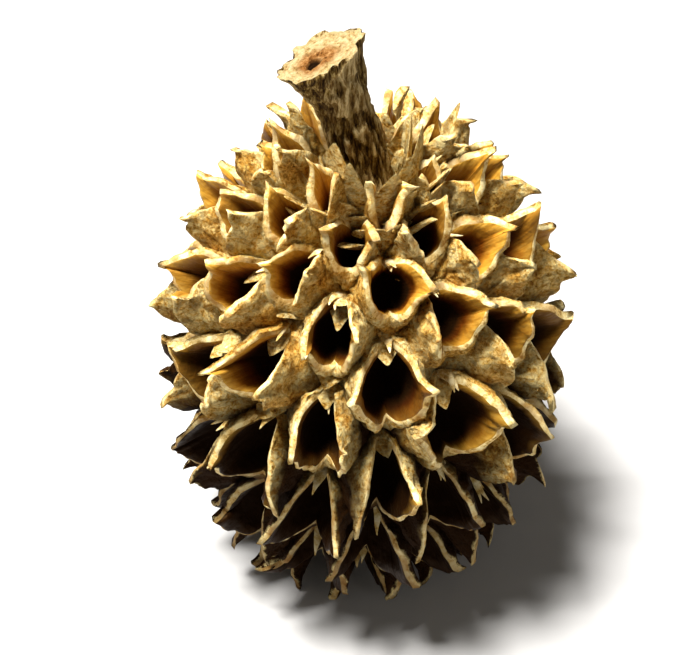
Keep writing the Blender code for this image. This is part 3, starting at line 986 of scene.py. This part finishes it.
# %% Build the stalk
STALK_SIDES = 64
STALK_RINGS = 84
CUT_RADIUS = STALK_RADIUS + CUT_FLARE
CUT_RINGS = (0.03, 0.08, 0.14, 0.2, 0.27, 0.34, 0.41, 0.48, 0.55, 0.62, 0.69, 0.76, 0.81, 0.84, 0.9)
RELIEF_FADE = 4
CUT_DISH = 0.35 * MM
CUT_ROUGHNESS = 0.24 * MM
SPLINTER_SIZE = 0.7 * MM
FINE_SPLINTER_SIZE = 0.3 * MM
FINE_SPLINTERS = 0.6
RAGGED_SIZE = 1.6 * MM
HOLE_START = 0.8
HOLE_DEPTH = 0.9 * MM
HOLE_OFFSET = Vector((-0.55, -0.30, 0)) * MM

stalk = bmesh.new()
turn_of = stalk.verts.layers.float.new("turn")
inward_of = stalk.verts.layers.float.new("inward")
height_of = stalk.verts.layers.float.new("height")


def place_on_stalk(v, along, inward):
    """Puts a point on the bark or, where inward is above 0, on the cut, and fills its layers."""
    angle = v[turn_of]
    relief = bark_relief(along, angle)
    v[inward_of] = inward
    v[height_of] = min(1.0, max(0.0, 0.5 + (relief + BARK_SINK) / (FIBRE_HEIGHT + FLAKE_HEIGHT)))
    v.co = stalk_point(along, angle, inward * CUT_RADIUS)
    v.co += Vector((math.cos(angle), math.sin(angle), 0)) * relief * max(0.0, 1 - RELIEF_FADE * inward)
    if inward:
        v.co.z -= CUT_DISH * math.sin(0.5 * math.pi * inward)
        splinter = noise.noise(v.co / SPLINTER_SIZE)
        splinter += FINE_SPLINTERS * noise.noise(v.co / FINE_SPLINTER_SIZE)
        v.co.z += CUT_ROUGHNESS * splinter
        v.co += HOLE_OFFSET * inward * inward
        if inward > HOLE_START:
            v.co.z -= HOLE_DEPTH * (inward - HOLE_START) / (1 - HOLE_START)
    elif along > FLARE_START:
        v.co.z += 2 * CUT_ROUGHNESS * noise.noise(Vector((v.co.x, v.co.y, 0)) / RAGGED_SIZE) * along


bmesh.ops.create_circle(stalk, segments=STALK_SIDES, radius=1)
for v in stalk.verts:
    v[turn_of] = math.atan2(v.co.y, v.co.x)
    v.co = stalk_point(0, v[turn_of])
edges = bottom = list(stalk.edges)
levels = [(ring / STALK_RINGS, 0.0) for ring in range(1, STALK_RINGS + 1)]
levels += [(1.0, part) for part in CUT_RINGS]
for along, inward in levels:
    edges, verts, faces = extruded(stalk, edges)
    for v in verts:
        place_on_stalk(v, along, inward)
    for f in faces:
        f.material_index = 1 if inward > CUT_RINGS[0] else 0
bmesh.ops.contextual_create(stalk, geom=edges, mat_nr=1)
bmesh.ops.contextual_create(stalk, geom=bottom)
finish_piece("stalk", stalk, [bark_material(), cut_material()], "stem")

# %% [markdown]
# The stage is a plain pale floor under a large soft light, with the camera at the photograph's angle, about
# 45 degrees above the table. The camera is near, as a phone is, so the stalk end looks larger than the apex.
# The floor is matt paper, pressed from fine fibres, which gives the eye a faint cloudiness and nothing else.
# The clouds are drawn 4 mm wide, far coarser than real fibres, which wouldn't show.

# %% Floor, lights and camera
FLOOR_SIZE = 2.0
PAPER_CLOUD = 1 / (4 * MM)
WORLD_STRENGTH = 0.12
CAMERA_ELEVATION = math.radians(45)
CAMERA_DISTANCE = 150 * MM
VIEW_WIDTH = 50 * MM
VIEW_CENTRE = Vector((-1.0 * MM, 0, 20.5 * MM))
SENSOR = 36.0

floor_mesh = bmesh.new()
bmesh.ops.create_grid(floor_mesh, x_segments=1, y_segments=1, size=0.5 * FLOOR_SIZE)
mesh = bpy.data.meshes.new("floor")
floor_mesh.to_mesh(mesh)
floor_mesh.free()
floor = bpy.data.objects.new("floor", mesh)
bpy.context.scene.collection.objects.link(floor)
paper, tree, shader, place = new_material("pale paper", 0.9)
fibres = add(tree, "ShaderNodeTexNoise", {"Vector": place, "Scale": PAPER_CLOUD, "Detail": 3})
base = add(tree, "ShaderNodeValToRGB", [fibres], [(0.3, "#B6B4B1"), (0.7, "#BAB8B5")])
tree.links.new(base, shader.inputs["Base Color"])
mesh.materials.append(paper)


def add_light(name, place, size, power):
    """A soft white panel of that size in metres and power in watts, aimed at the middle of the head."""
    data = bpy.data.lights.new(name, "AREA")
    data.size = size
    data.energy = power
    light = bpy.data.objects.new(name, data)
    light.location = place
    light.rotation_euler = (Vector((0, 0, MID_HEIGHT)) - Vector(place)).to_track_quat("-Z", "Y").to_euler()
    bpy.context.scene.collection.objects.link(light)


add_light("key", (-0.09, -0.01, 0.36), 0.09, 4.5)
add_light("fill", (0.30, -0.34, 0.26), 0.35, 0.25)
world = bpy.data.worlds.new("studio")
bpy.context.scene.world = world
world.use_nodes = True
background = world.node_tree.nodes["Background"]
background.inputs["Color"].default_value = colour("#F8F2E8")
background.inputs["Strength"].default_value = WORLD_STRENGTH

back = Vector((0, -math.cos(CAMERA_ELEVATION), math.sin(CAMERA_ELEVATION)))
camera_data = bpy.data.cameras.new("camera")
camera_data.sensor_width = SENSOR
camera_data.lens = SENSOR * CAMERA_DISTANCE / VIEW_WIDTH
camera_data.clip_start = 0.01
camera = bpy.data.objects.new("camera", camera_data)
camera.location = VIEW_CENTRE + back * CAMERA_DISTANCE
camera.rotation_euler = (-back).to_track_quat("-Z", "Y").to_euler()
bpy.context.scene.collection.objects.link(camera)
bpy.context.scene.camera = camera
bpy.context.scene.view_settings.view_transform = "Standard"
